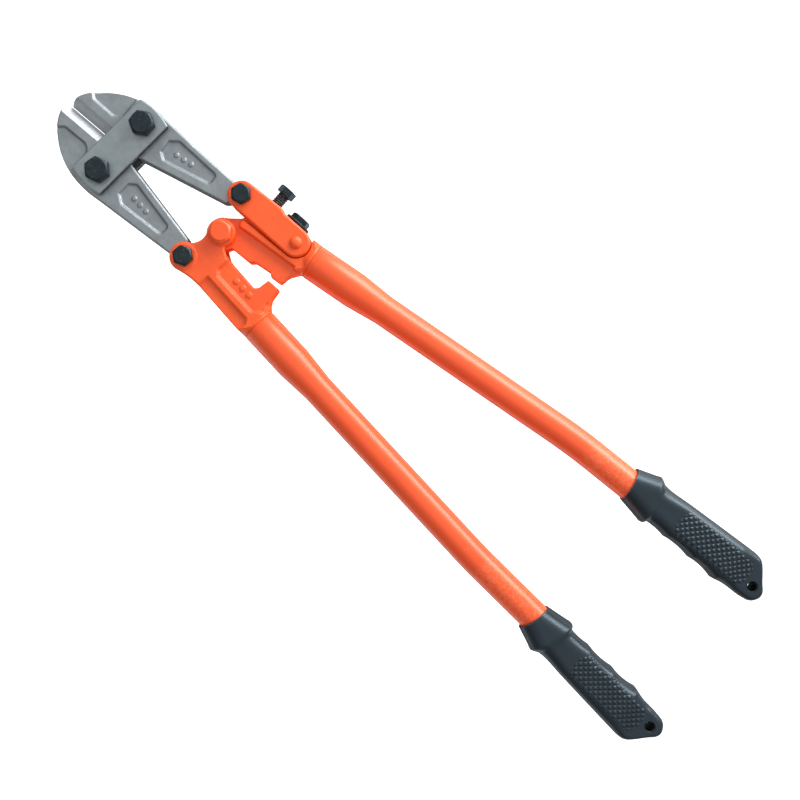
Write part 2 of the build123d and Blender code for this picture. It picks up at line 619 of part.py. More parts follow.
def build_tube(straight, bent, corner, bend, end):
    """A tube: wide mouth, taper, straight run, gentle bend and the run inside the grip."""
    tangent = BEND_RADIUS * tan(radians(bend / 2))
    start = corner - tangent
    middle = straight.from_local_coords((start, BEND_RADIUS, 0))
    with BuildPart() as tube:
        with BuildSketch(straight):
            with BuildLine():
                Polyline((0, TUBE_MOUTH_RADIUS - TUBE_WALL),
                         (0, TUBE_MOUTH_RADIUS - SEAM_CHAMFER),
                         (SEAM_CHAMFER, TUBE_MOUTH_RADIUS), (MOUTH_LENGTH, TUBE_MOUTH_RADIUS),
                         (MOUTH_LENGTH + TAPER_LENGTH, TUBE_RADIUS), (start, TUBE_RADIUS),
                         (start, TUBE_RADIUS - TUBE_WALL),
                         (MOUTH_LENGTH + TAPER_LENGTH, TUBE_RADIUS - TUBE_WALL),
                         (MOUTH_LENGTH, TUBE_MOUTH_RADIUS - TUBE_WALL), close=True)
            make_face()
        revolve(axis=Axis(straight.origin, straight.x_dir))
        with BuildSketch(Plane(origin=straight.from_local_coords((start, 0, 0)),
                               x_dir=straight.y_dir, z_dir=straight.x_dir)):
            Circle(TUBE_RADIUS)
            Circle(TUBE_RADIUS - TUBE_WALL, mode=Mode.SUBTRACT)
        revolve(axis=Axis(middle, straight.z_dir), revolution_arc=bend)
        with BuildSketch(Plane(origin=bent.from_local_coords((tangent, 0, 0)),
                               x_dir=bent.y_dir, z_dir=bent.x_dir)):
            Circle(TUBE_RADIUS)
            Circle(TUBE_RADIUS - TUBE_WALL, mode=Mode.SUBTRACT)
        extrude(amount=end - tangent)
    return tube


GRIP_CORNER = 8.5
GRIP_HOLE = (113.0, 2.4)
GRIP_NOSE = (116.5, 12.0)
GRIP_STATIONS = [
    # along, outer side, inner side, half thickness: collar, three finger waves, flat end
    (0, 12.8, 10.6, 12.8),
    (13.6, 18.3, 13.8, 16.6),
    (20.8, 15.3, 15.6, 14.9),
    (24, 15.1, 12.8, 14.2),
    (33, 15.5, 12.0, 14.2),
    (45.3, 16.0, 13.0, 14.2),
    (56, 16.4, 12.2, 14.2),
    (68, 16.9, 13.6, 14.2),
    (78, 17.3, 13.0, 14.2),
    (89.3, 17.8, 14.9, 13.6),
    (104, 18.2, 12.6, 10.0),
    (GRIP_LENGTH, 18.2, 12.2, 9.6),
]


def build_grip(frame):
    """A moulded grip: flared collar, finger waves on the inner side, slanted flat end."""
    with BuildPart() as grip:
        for along, outer, inner, half in GRIP_STATIONS:
            station = Plane(origin=frame.from_local_coords((along, (inner - outer) / 2, 0)),
                            x_dir=frame.y_dir, z_dir=frame.x_dir)
            with BuildSketch(station):
                RectangleRounded(outer + inner, 2 * half, GRIP_CORNER)
        loft(ruled=True)
        with BuildSketch(frame.offset(-THROUGH)):
            with BuildLine():
                Polyline((4.8, 30), (4.8, 11.9), (0, -12.8), (0, -30), (100.5, -30),
                         (100.5, -18.2))
                ThreePointArc((100.5, -18.2), (106.3, -17.2), (110.2, -14.5))
                Line((110.2, -14.5), (119.6, -3))
                ThreePointArc((119.6, -3), (GRIP_LENGTH, 5), GRIP_NOSE)
                Polyline(GRIP_NOSE, (112, 12.5), (112, 30), (4.8, 30))
            make_face()
        extrude(amount=2 * THROUGH, mode=Mode.INTERSECT)
        with BuildSketch(Plane(origin=frame.origin, x_dir=frame.y_dir, z_dir=frame.x_dir)):
            Circle(TUBE_RADIUS + RUNNING_GAP)
        extrude(amount=TUBE_IN_GRIP + TUBE_END_ROOM, mode=Mode.SUBTRACT)
        with BuildSketch(frame.offset(-THROUGH)):
            with Locations(GRIP_HOLE):
                Circle(HANGING_HOLE_RADIUS)
        extrude(amount=2 * THROUGH, mode=Mode.SUBTRACT)
    return grip


for name, plane, side, axis_y, seam_x, bend, grip_x in handles:
    straight = Plane(origin=plane.from_local_coords((seam_x, axis_y, 0)), x_dir=plane.x_dir,
                     z_dir=(0, 0, -side))
    corner = BEND_X - seam_x
    bent_dir = straight.x_dir * cos(radians(bend)) + straight.y_dir * sin(radians(bend))
    bent = Plane(origin=straight.from_local_coords((corner, 0, 0)), x_dir=bent_dir,
                 z_dir=(0, 0, -side))
    grip_frame = Plane(origin=bent.from_local_coords((grip_x - BEND_X, 0, 0)),
                       x_dir=bent_dir, z_dir=(0, 0, -side))
    tube = build_tube(straight, bent, corner, bend, grip_x - BEND_X + TUBE_IN_GRIP)
    tube.part.label = f"{name}_tube"
    export_step(tube.part, f"parts/{name}_tube.step")
    grip = build_grip(grip_frame)
    grip.part.label = f"{name}_grip"
    export_step(grip.part, f"parts/{name}_grip.step")
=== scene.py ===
"""Bolt cutters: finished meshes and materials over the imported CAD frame, in metres."""
import json
from math import cos, pi, radians, sin

import bmesh
import bpy
import numpy as np
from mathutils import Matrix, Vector


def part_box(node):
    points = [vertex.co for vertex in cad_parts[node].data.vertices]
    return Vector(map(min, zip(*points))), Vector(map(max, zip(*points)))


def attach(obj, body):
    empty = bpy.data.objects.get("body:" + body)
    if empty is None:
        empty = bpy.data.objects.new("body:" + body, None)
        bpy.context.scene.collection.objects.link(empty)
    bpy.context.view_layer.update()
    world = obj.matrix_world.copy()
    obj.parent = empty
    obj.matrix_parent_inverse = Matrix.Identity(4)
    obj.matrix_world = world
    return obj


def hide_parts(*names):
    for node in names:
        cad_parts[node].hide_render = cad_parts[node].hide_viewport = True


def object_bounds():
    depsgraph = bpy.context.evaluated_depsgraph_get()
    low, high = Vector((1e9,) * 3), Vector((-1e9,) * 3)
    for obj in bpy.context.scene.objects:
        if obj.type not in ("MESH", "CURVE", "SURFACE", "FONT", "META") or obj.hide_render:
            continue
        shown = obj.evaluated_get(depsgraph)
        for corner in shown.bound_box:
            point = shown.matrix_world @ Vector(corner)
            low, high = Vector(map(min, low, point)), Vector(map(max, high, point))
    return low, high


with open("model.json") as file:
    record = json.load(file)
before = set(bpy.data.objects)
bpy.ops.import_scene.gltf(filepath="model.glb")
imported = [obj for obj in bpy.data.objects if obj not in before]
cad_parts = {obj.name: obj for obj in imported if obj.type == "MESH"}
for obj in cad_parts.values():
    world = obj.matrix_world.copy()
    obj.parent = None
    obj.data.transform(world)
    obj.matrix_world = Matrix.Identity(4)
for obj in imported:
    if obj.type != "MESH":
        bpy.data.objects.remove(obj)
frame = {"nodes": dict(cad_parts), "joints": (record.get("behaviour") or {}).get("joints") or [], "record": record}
cad_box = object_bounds()
MM = 0.001

# ---------------------------------------------------------------- colours, linear
PAINT_LOW = (0.82, 0.082, 0.009)
PAINT_HIGH = (0.90, 0.102, 0.012)
PAINT_EDGE = (0.95, 0.17, 0.06)
PAINT_CHIP = (0.95, 0.42, 0.28)
TUBE_LOW = (0.85, 0.066, 0.003)
TUBE_HIGH = (0.93, 0.084, 0.005)
TUBE_TINT = (1.0, 0.88, 0.78, 1.0)
JAW_LOW = (0.225, 0.253, 0.268)
JAW_HIGH = (0.295, 0.328, 0.345)
PLATE_LOW = (0.240, 0.277, 0.286)
PLATE_HIGH = (0.29, 0.33, 0.342)
STEEL_PIT = (0.14, 0.15, 0.15)
STEEL_RUBBED = (0.55, 0.58, 0.60)
# dark colour for the upright sides of forgings and straps: painted shade
SIDE_SHADE_LOW = (0.045, 0.052, 0.055)
SIDE_SHADE_HIGH = (0.075, 0.085, 0.090)
OXIDE_LOW = (0.008, 0.011, 0.013)
OXIDE_HIGH = (0.018, 0.023, 0.027)
OXIDE_WORN = (0.42, 0.45, 0.48)
OXIDE_TINT = (0.60, 0.84, 0.96, 1.0)
RUBBER_LOW = (0.005, 0.010, 0.015)
RUBBER_HIGH = (0.009, 0.015, 0.021)
# lighter colour on the grips' ridges: painted highlight
RUBBER_RIDGE_HIGHLIGHT = (0.060, 0.078, 0.095)
RUBBER_TINT = (0.72, 0.89, 1.0, 1.0)
# near-black for the hanging hole and the grips' sides: painted shade
RUBBER_SHADE_LOW = (0.003, 0.004, 0.005)
RUBBER_SHADE_HIGH = (0.006, 0.007, 0.008)


# ---------------------------------------------------------------- node helpers
def new_material(name):
    """A material with its tree and its shader."""
    material = bpy.data.materials.new(name)
    material.use_nodes = True
    tree = material.node_tree
    return material, tree, tree.nodes["Principled BSDF"]


def noise(tree, scale, detail=4.0, roughness=0.5, stretch=None):
    """Noise in object coordinates; stretch scales each axis first."""
    source = tree.nodes.new("ShaderNodeTexCoord").outputs["Object"]
    if stretch:
        mapping = tree.nodes.new("ShaderNodeMapping")
        mapping.inputs["Scale"].default_value = stretch
        tree.links.new(source, mapping.inputs["Vector"])
        source = mapping.outputs["Vector"]
    node = tree.nodes.new("ShaderNodeTexNoise")
    node.inputs["Scale"].default_value = scale
    node.inputs["Detail"].default_value = detail
    node.inputs["Roughness"].default_value = roughness
    tree.links.new(source, node.inputs["Vector"])
    return node.outputs["Fac"]


def ramp(tree, source, stops):
    """A colour ramp; each stop is (position, colour)."""
    node = tree.nodes.new("ShaderNodeValToRGB")
    band = node.color_ramp
    while len(band.elements) < len(stops):
        band.elements.new(0.5)
    for element, (place, colour) in zip(band.elements, stops):
        element.position = place
        element.color = (*colour, 1.0)
    tree.links.new(source, node.inputs["Fac"])
    return node.outputs["Color"]


def between(tree, source, low, high, from_low=0.3, from_high=0.7):
    """Map a value from one range to another, held to its ends."""
    node = tree.nodes.new("ShaderNodeMapRange")
    node.inputs["From Min"].default_value = from_low
    node.inputs["From Max"].default_value = from_high
    node.inputs["To Min"].default_value = low
    node.inputs["To Max"].default_value = high
    tree.links.new(source, node.inputs["Value"])
    return node.outputs["Result"]


def times(tree, first, second):
    """The product of two sockets."""
    node = tree.nodes.new("ShaderNodeMath")
    node.operation = "MULTIPLY"
    tree.links.new(first, node.inputs[0])
    tree.links.new(second, node.inputs[1])
    return node.outputs["Value"]


def over(tree, mask, base, colour):
    """A plain colour laid over a colour socket where the mask is high."""
    node = tree.nodes.new("ShaderNodeMix")
    node.data_type = "RGBA"
    tree.links.new(mask, node.inputs["Factor"])
    tree.links.new(base, node.inputs["A"])
    node.inputs["B"].default_value = (*colour, 1.0)
    return node.outputs["Result"]


def stored(tree, name):
    """A value that mark_edges has stored on the mesh: edge or flat."""
    node = tree.nodes.new("ShaderNodeAttribute")
    node.attribute_name = name
    return node.outputs["Fac"]


def edge_mask(tree, low, high, strength, breakup):
    """High where the stored edge value passes from low to high, broken up by noise."""
    edge = between(tree, stored(tree, "edge"), 0.0, strength, low, high)
    return times(tree, edge, between(tree, noise(tree, breakup, 3), 0.0, 1.0, 0.4, 0.6))


def bump(tree, shader, source, height, below=None):
    """Bump the shader by a height in metres, over an earlier bump if one is given."""
    node = tree.nodes.new("ShaderNodeBump")
    node.inputs["Distance"].default_value = height
    tree.links.new(source, node.inputs["Height"])
    if below:
        tree.links.new(below, node.inputs["Normal"])
    tree.links.new(node.outputs["Normal"], shader.inputs["Normal"])
    return node.outputs["Normal"]


# ---------------------------------------------------------------- materials
def orange_paint(name, cast):
    """Powder coat with orange peel: over a forging's grain, or glossy on a drawn tube."""
    material, tree, shader = new_material(name)
    spread = 0.2 if cast else 0.6
    low, high = (PAINT_LOW, PAINT_HIGH) if cast else (TUBE_LOW, TUBE_HIGH)
    colour = ramp(tree, noise(tree, 45, 3), [(0.5 - spread, low), (0.5 + spread, high)])
    rubbed = edge_mask(tree, low=0.08, high=0.3, strength=0.5, breakup=500)
    colour = over(tree, rubbed, colour, PAINT_EDGE)
    chips = between(tree, noise(tree, 900, 2), 0.0, 0.75, 0.74, 0.78)
    colour = over(tree, chips, colour, PAINT_CHIP)
    tree.links.new(colour, shader.inputs["Base Color"])
    if cast:
        gloss = between(tree, noise(tree, 160, 4), 0.36, 0.48)
    else:
        gloss = between(tree, stored(tree, "flat"), 0.90, 0.38, 0.15, 0.5)
        shader.inputs["Specular IOR Level"].default_value = 0.85
        shader.inputs["Specular Tint"].default_value = TUBE_TINT
    tree.links.new(gloss, shader.inputs["Roughness"])
    peel = bump(tree, shader, noise(tree, 900, 2), (0.04 if cast else 0.02) * MM)
    if cast:
        bump(tree, shader, noise(tree, 300, 5, 0.6), 0.22 * MM, peel)
    return material


def forged_steel(name, low, high, grain):
    """Grey shot-blasted or rolled steel, brighter where its edges are rubbed."""
    material, tree, shader = new_material(name)
    mottle = ramp(tree, noise(tree, 90, 6, 0.65), [(0.32, low), (0.68, high)])
    speck = between(tree, noise(tree, 1400, 3, 0.7), 0.0, 0.5, 0.58, 0.72)
    colour = over(tree, speck, mottle, STEEL_PIT)
    rubbed = edge_mask(tree, low=0.06, high=0.25, strength=0.7, breakup=350)
    colour = over(tree, rubbed, colour, STEEL_RUBBED)
    tree.links.new(colour, shader.inputs["Base Color"])
    shader.inputs["Metallic"].default_value = 0.8
    tree.links.new(between(tree, noise(tree, 220, 4), 0.42, 0.58), shader.inputs["Roughness"])
    pits = bump(tree, shader, noise(tree, 1500, 3), grain)
    bump(tree, shader, noise(tree, 180, 5), 2 * grain, pits)
    return material


def ground_steel(name, low, high):
    """A cutting bevel: ground steel with fine lines across the edge."""
    material, tree, shader = new_material(name)
    lines = noise(tree, 600, 4, 0.6, (6.0, 0.25, 0.25))
    colour = ramp(tree, lines, [(0.3, low), (0.7, high)])
    tree.links.new(colour, shader.inputs["Base Color"])
    shader.inputs["Metallic"].default_value = 0.5
    tree.links.new(between(tree, lines, 0.38, 0.46), shader.inputs["Roughness"])
    bump(tree, shader, lines, 0.03 * MM)
    return material


def painted_shade_steel(name):
    """Dark dull colour on the upright sides of a forging or a strap: painted shade."""
    material, tree, shader = new_material(name)
    colour = ramp(tree, noise(tree, 260, 5, 0.6), [(0.35, SIDE_SHADE_LOW), (0.7, SIDE_SHADE_HIGH)])
    tree.links.new(colour, shader.inputs["Base Color"])
    tree.links.new(between(tree, noise(tree, 300, 4), 0.7, 0.9), shader.inputs["Roughness"])
    shader.inputs["Metallic"].default_value = 0.2
    shader.inputs["Specular IOR Level"].default_value = 0.1
    bump(tree, shader, noise(tree, 600, 4), 0.12 * MM)
    return material


def dull_paint(name):
    """The same powder coat on the narrow edges, thinner and less glossy."""
    material, tree, shader = new_material(name)
    colour = ramp(tree, noise(tree, 45, 3), [(0.3, PAINT_LOW), (0.7, PAINT_HIGH)])
    tree.links.new(colour, shader.inputs["Base Color"])
    tree.links.new(between(tree, noise(tree, 160, 4), 0.8, 0.95), shader.inputs["Roughness"])
    shader.inputs["Specular IOR Level"].default_value = 0.05
    bump(tree, shader, noise(tree, 300, 5, 0.6), 0.22 * MM)
    return material


def black_steel(name):
    """Black oxide on hex heads, nuts and screws, with bare specks along the edges."""
    material, tree, shader = new_material(name)
    colour = ramp(tree, noise(tree, 240, 5, 0.6), [(0.35, OXIDE_LOW), (0.7, OXIDE_HIGH)])
    rubbed = edge_mask(tree, low=0.10, high=0.35, strength=0.9, breakup=900)
    colour = over(tree, rubbed, colour, OXIDE_WORN)
    specks = between(tree, noise(tree, 1100, 2), 0.0, 0.6, 0.70, 0.75)
    colour = over(tree, specks, colour, OXIDE_WORN)
    tree.links.new(colour, shader.inputs["Base Color"])
    shader.inputs["Metallic"].default_value = 0.35
    shader.inputs["Specular Tint"].default_value = OXIDE_TINT
    tree.links.new(between(tree, noise(tree, 400, 4), 0.30, 0.48), shader.inputs["Roughness"])
    bump(tree, shader, noise(tree, 700, 4), 0.10 * MM)
    return material


def hole_shade_rubber(name):
    """The grips' rubber in the hanging hole, coloured near-black as painted shade, and matte."""
    material, tree, shader = new_material(name)
    colour = ramp(tree, noise(tree, 300, 4), [(0.3, RUBBER_SHADE_LOW), (0.7, RUBBER_SHADE_HIGH)])
    tree.links.new(colour, shader.inputs["Base Color"])
    shader.inputs["Roughness"].default_value = 0.95
    shader.inputs["Specular IOR Level"].default_value = 0.05
    bump(tree, shader, noise(tree, 1800, 3), 0.08 * MM)
    return material


def grip_rubber(name):
    """Satin black moulded rubber with a fine grain, lightened on its ridges as painted highlight, darkened on its
    sides as painted shade, and dull there.
    """
    material, tree, shader = new_material(name)
    colour = ramp(tree, noise(tree, 60, 4), [(0.3, RUBBER_LOW), (0.7, RUBBER_HIGH)])
    # the ridges are lightened: painted highlight
    ridge_highlight = edge_mask(tree, low=0.05, high=0.35, strength=0.8, breakup=700)
    colour = over(tree, ridge_highlight, colour, RUBBER_RIDGE_HIGHLIGHT)
    flat = stored(tree, "flat")
    # the sides darken towards near-black: painted shade
    colour = over(tree, between(tree, flat, 0.85, 0.0, 0.15, 0.5), colour, RUBBER_SHADE_LOW)
    tree.links.new(colour, shader.inputs["Base Color"])
    satin = between(tree, flat, 0.90, 0.33, 0.2, 0.6)
    uneven = between(tree, noise(tree, 300, 4), 0.90, 1.08)
    tree.links.new(times(tree, satin, uneven), shader.inputs["Roughness"])
    shader.inputs["Specular IOR Level"].default_value = 0.52
    shader.inputs["Specular Tint"].default_value = RUBBER_TINT
    bump(tree, shader, noise(tree, 2600, 2), 0.04 * MM)
    return material


paint_cast = orange_paint("orange_paint_cast", cast=True)
paint_tube = orange_paint("orange_paint_tube", cast=False)
steel_jaw = forged_steel("forged_steel", JAW_LOW, JAW_HIGH, 0.07 * MM)
steel_plate = forged_steel("plate_steel", PLATE_LOW, PLATE_HIGH, 0.04 * MM)
steel_bevel = {  # one bevel is dark and the other bright, as in the photo: the upper's darker colour is painted shade, the lower's lighter colour is painted highlight
    "upper": ground_steel("ground_bevel_upper_painted_shade", (0.30, 0.325, 0.335), (0.39, 0.415, 0.425)),
    "lower": ground_steel("ground_bevel_lower_painted_highlight", (0.54, 0.57, 0.60), (0.64, 0.67, 0.70)),
}
# the upright sides' dark colour is painted shade
steel_painted_shade = painted_shade_steel("painted_shade_steel")
paint_side = dull_paint("orange_paint_side")
steel_black = black_steel("black_oxide")
rubber = grip_rubber("grip_rubber_finish")
# the hanging hole's near-black colour is painted shade
rubber_hole_shade = hole_shade_rubber("grip_hole_painted_shade")

body_of = {node: body for body, nodes in frame["record"]["behaviour"]["bodies"].items()
           for node in nodes}

# ---------------------------------------------------------------- sizes of the finishing
MERGE_DISTANCE = 0.002 * MM
HEAD_VOXEL = 0.52 * MM
JAW_VOXEL = 0.4 * MM
PLATE_VOXEL = 0.4 * MM
BOLT_VOXEL = 0.28 * MM
SIDE_SLOPE = 0.3  # a face is upright where its normal's z is under this
CROWN_SLOPE = 0.75
BLADE_START = 9.0 * MM  # the bevel starts this far in front of the jaw bolt
BLADE_DEPTH = 7.1 * MM  # and lies no further than this from the cutting line
BEVEL_SLOPE = 0.93  # its faces lean: neither the x nor the z of their normals reaches this
JAW_HALF = 7.4 * MM
INNER_CHAMFER = 1.1 * MM
INNER_START = (12 * MM, 3.9 * MM)  # behind the jaw bolt, and out from the cutting line
INNER_RUN = (65 * MM, 14.7 * MM)  # the way a jaw's inner edge goes, back and out
LOWERED = -1.4 * MM  # the upper jaw's inner edge lies this much nearer to the cutting line
SHANK_BAND = 0.35 * MM  # a thread is only cut this near to the shank's surface
RUN_OUT = 3  # and reaches its full depth in a third of a pitch


# ---------------------------------------------------------------- mesh helpers
def vertex_array(mesh, field="co"):
    """A vertex vector, such as co or normal, as an array with a row for each vertex."""
    values = np.empty(len(mesh.vertices) * 3, np.float32)
    mesh.vertices.foreach_get(field, values)
    return values.reshape(-1, 3)


def face_array(mesh, field):
    """A face vector, such as center or normal, as an array with a row for each face."""
    values = np.empty(len(mesh.polygons) * 3, np.float32)
    mesh.polygons.foreach_get(field, values)
    return values.reshape(-1, 3)


def mark_edges(mesh):
    """Store how convex the surface is at each vertex as edge, and how level it is as flat."""
    place = vertex_array(mesh)
    normal = vertex_array(mesh, "normal")
    pairs = np.empty(len(mesh.edges) * 2, np.int32)
    mesh.edges.foreach_get("vertices", pairs)
    pairs = pairs.reshape(-1, 2)
    ends = np.concatenate([pairs[:, 0], pairs[:, 1]])
    others = np.concatenate([pairs[:, 1], pairs[:, 0]])
    count = len(place)
    degree = np.maximum(np.bincount(ends, minlength=count), 1)

    def mean(values):
        return np.bincount(ends, weights=values[others], minlength=count) / degree

    centre = np.stack([mean(place[:, axis]) for axis in range(3)], axis=1)
    step = np.linalg.norm(place[pairs[:, 0]] - place[pairs[:, 1]], axis=1).mean()
    edge = ((place - centre) * normal).sum(axis=1) / step
    for _ in range(2):
        edge = (edge + mean(edge)) / 2
    for name, values in (("edge", edge), ("flat", np.abs(normal[:, 2]))):
        mesh.attributes.new(name, "FLOAT", "POINT").data.foreach_set(
            "value", values.astype(np.float32))


def finish_faces(mesh, material, chosen):
    """Give the chosen faces a finish of their own."""
    index = np.empty(len(mesh.polygons), np.int32)
    mesh.polygons.foreach_get("material_index", index)
    mesh.materials.append(material)
    index[chosen] = len(mesh.materials) - 1
    mesh.polygons.foreach_set("material_index", index)


def finish_sides(obj, material):
    """Give the upright faces of a flat piece a finish of their own."""
    upright = np.abs(face_array(obj.data, "normal")[:, 2]) < SIDE_SLOPE
    finish_faces(obj.data, material, upright)


def finish_bevel(mesh, material, bolt_x):
    """Give the ground faces either side of the cutting edge their own finish."""
    centre, normal = face_array(mesh, "center"), face_array(mesh, "normal")
    finish_faces(mesh, material, (
        (centre[:, 0] < bolt_x - BLADE_START) & (np.abs(centre[:, 1]) < BLADE_DEPTH)
        & (np.abs(normal[:, 2]) < BEVEL_SLOPE) & (np.abs(normal[:, 0]) < BEVEL_SLOPE)))


def keep_inside(mesh, node):
    """Hold a mesh inside the box of the CAD piece that it stands for."""
    low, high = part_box(node)
    place = np.clip(vertex_array(mesh), np.array(low), np.array(high))
    mesh.vertices.foreach_set("co", place.astype(np.float32).ravel())
    mesh.update()


def evaluated_mesh(obj):
    """Apply an object's modifiers and return its new mesh."""
    mesh = bpy.data.meshes.new_from_object(
        obj.evaluated_get(bpy.context.evaluated_depsgraph_get()))
    obj.modifiers.clear()
    obj.data = mesh
    return mesh


def merged_copy(node, name):
    """A new object with a CAD piece's mesh, its doubled vertices merged."""
    mesh = frame["nodes"][node].data.copy()
    work = bmesh.new()
    work.from_mesh(mesh)
    bmesh.ops.remove_doubles(work, verts=work.verts, dist=MERGE_DISTANCE)
    work.to_mesh(mesh)
    work.free()
    obj = bpy.data.objects.new(name, mesh)
    bpy.context.collection.objects.link(obj)
    return obj


def softened(node, name, voxel, passes):
    """A copy of a CAD piece, remeshed finely and smoothed so its corners turn to radii."""
    obj = merged_copy(node, name)
    remesh = obj.modifiers.new("remesh", "REMESH")
    remesh.mode = "VOXEL"
    remesh.voxel_size = voxel
    smooth = obj.modifiers.new("smooth", "SMOOTH")
    smooth.factor = 0.5
    smooth.iterations = passes
    evaluated_mesh(obj)
    return obj


def stand_in(obj, node, material):
    """Finish a piece that takes the place of a CAD node."""
    mesh = obj.data
    keep_inside(mesh, node)
    mesh.shade_smooth()
    mark_edges(mesh)
    if not mesh.materials:
        mesh.materials.append(material)
    mesh.materials[0] = material
    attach(obj, body_of[node])
    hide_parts(node)


def round_crown(mesh, centre, radius):
    """Turn the top of a hex head to a flat crown of that radius with a cone round it."""
    place = vertex_array(mesh)
    past = np.maximum(np.linalg.norm(place[:, :2] - np.array(centre), axis=1) - radius, 0)
    top = place[:, 2].max()
    place[:, 2] = np.minimum(place[:, 2], top - CROWN_SLOPE * past)
    mesh.vertices.foreach_set("co", place.ravel())
    mesh.update()


def chamfer_inner_edge(mesh, side, bolt_x, shift):
    """Take the corners off a jaw's inner edge, from its nip to its tail."""
    place = vertex_array(mesh).astype(float)
    start = np.array(INNER_START) + (bolt_x, shift)
    run = np.array(INNER_RUN)
    run /= np.linalg.norm(run)
    flat = np.stack([place[:, 0], side * place[:, 1]], axis=1) - start
    inside = flat[:, 1] * run[0] - flat[:, 0] * run[1]
    behind = flat[:, 0] > 0
    limit = JAW_HALF - np.clip(INNER_CHAMFER - inside, 0, INNER_CHAMFER)
    height = np.where(behind, np.minimum(np.abs(place[:, 2]), limit), np.abs(place[:, 2]))
    place[:, 2] = np.sign(place[:, 2]) * height
    mesh.vertices.foreach_set("co", place.astype(np.float32).ravel())
    mesh.update()


def cut_thread(mesh, origin, axis, radius, start, end, pitch, depth):
    """Press a helical thread into a round shank, between two places along its axis."""
    place = vertex_array(mesh).astype(float)
    along_dir = np.array(axis)
    side_dir = np.cross(along_dir, (0.0, 0.0, 1.0) if abs(axis[2]) < 0.5 else (1.0, 0.0, 0.0))
    side_dir /= np.linalg.norm(side_dir)
    up_dir = np.cross(along_dir, side_dir)
    offset = place - np.array(origin)
    along = offset @ along_dir
    out = offset - np.outer(along, along_dir)
    reach = np.linalg.norm(out, axis=1)
    angle = np.arctan2(out @ up_dir, out @ side_dir)
    phase = (along / pitch - angle / (2 * pi)) % 1.0
    groove = 1 - np.abs(2 * phase - 1)
    fade = np.clip((along - start) / pitch, 0, 1) * np.clip((end - along) / pitch, 0, 1)
    on_shank = np.abs(reach - radius) < SHANK_BAND
    change = np.where(on_shank, depth * groove * np.clip(RUN_OUT * fade, 0, 1), 0.0)
    place -= out / np.maximum(reach, MM)[:, None] * change[:, None]
    mesh.vertices.foreach_set("co", place.astype(np.float32).ravel())
    mesh.update()


# ---------------------------------------------------------------- forged and turned pieces
for node in ("upper_head", "lower_head", "adjusting_link"):
    piece = softened(node, node + "_forging", HEAD_VOXEL, 2)
    stand_in(piece, node, paint_cast)
    finish_sides(piece, paint_side)

for node in ("front_side_plate", "rear_side_plate"):
    piece = softened(node, node + "_strap", PLATE_VOXEL, 3)
    stand_in(piece, node, steel_plate)
    # the plates' upright sides get painted shade
    finish_sides(piece, steel_painted_shade)

for side, sign, shift in (("upper", 1, LOWERED), ("lower", -1, 0.0)):
    node = side + "_jaw"
    piece = softened(node, node + "_forging", JAW_VOXEL, 3)
    low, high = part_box(side + "_jaw_bolt")
    bolt_x = (low.x + high.x) / 2
    chamfer_inner_edge(piece.data, sign, bolt_x, shift)
    stand_in(piece, node, steel_jaw)
    # the jaws' upright sides get painted shade
    finish_sides(piece, steel_painted_shade)
    # the bevel faces get their painted shade or painted highlight
    finish_bevel(piece.data, steel_bevel[side], bolt_x)

M8_PITCH = 1.25 * MM
M10_PITCH = 1.5 * MM
M8_DEPTH = 0.5 * MM
M10_DEPTH = 0.62 * MM
NUT_HEIGHT = 8.0 * MM
through_bolts = {
    # bolt: shank radius, crown radius, pitch, depth, finish
    "upper_jaw_bolt": (5.0 * MM, 7.0 * MM, M10_PITCH, M10_DEPTH, steel_black),
    "lower_jaw_bolt": (5.0 * MM, 7.0 * MM, M10_PITCH, M10_DEPTH, steel_black),
    "upper_tail_bolt": (4.0 * MM, 5.6 * MM, M8_PITCH, M8_DEPTH, steel_black),
    "lower_tail_bolt": (4.0 * MM, 5.6 * MM, M8_PITCH, M8_DEPTH, steel_black),
    "pivot_bolt": (5.0 * MM, 6.3 * MM, M10_PITCH, M10_DEPTH, paint_cast),
}
for node, (radius, crown, pitch, depth, finish) in through_bolts.items():
    piece = softened(node, node + "_turned", BOLT_VOXEL, 3)
    low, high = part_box(node)
    origin = ((low.x + high.x) / 2, (low.y + high.y) / 2, low.z)
    round_crown(piece.data, origin[:2], crown)
    cut_thread(piece.data, origin, (0, 0, 1), radius, -pitch, NUT_HEIGHT, pitch, depth)
    stand_in(piece, node, finish)

for node in ("upper_jaw_nut", "lower_jaw_nut", "upper_tail_nut", "lower_tail_nut"):
    stand_in(softened(node, node + "_hex", BOLT_VOXEL, 3), node, steel_black)
stand_in(softened("pivot_nut", "pivot_nut_hex", BOLT_VOXEL, 3), "pivot_nut", paint_cast)
stand_in(softened("link_rivet", "link_rivet_domed", BOLT_VOXEL, 3), "link_rivet", paint_cast)

SCREW_RADIUS = 4.5 * MM
SCREW_SHANK = 16.0 * MM
SCREW_PITCH = 1.6 * MM
SCREW_DEPTH = 0.75 * MM
joint_at = {joint["name"]: joint for joint in frame["joints"]}
turn = joint_at["adjusting_screw_turn"]
piece = softened("adjusting_screw", "adjusting_screw_turned", BOLT_VOXEL, 2)
cut_thread(piece.data, turn["pos_m"], turn["axis"], SCREW_RADIUS, -SCREW_SHANK, SCREW_SHANK,
           SCREW_PITCH, SCREW_DEPTH)
stand_in(piece, "adjusting_screw", steel_black)
stand_in(softened("lock_bolt", "lock_bolt_turned", BOLT_VOXEL, 2), "lock_bolt", steel_black)
stand_in(softened("lock_washer", "lock_washer_pressed", BOLT_VOXEL, 3), "lock_washer",
         steel_black)


# ---------------------------------------------------------------- tubes
TUBE_SHARP = 30

for node in ("upper_tube", "lower_tube"):
    piece = merged_copy(node, node + "_drawn")
    stand_in(piece, node, paint_tube)
    piece.data.set_sharp_from_angle(angle=radians(TUBE_SHARP))


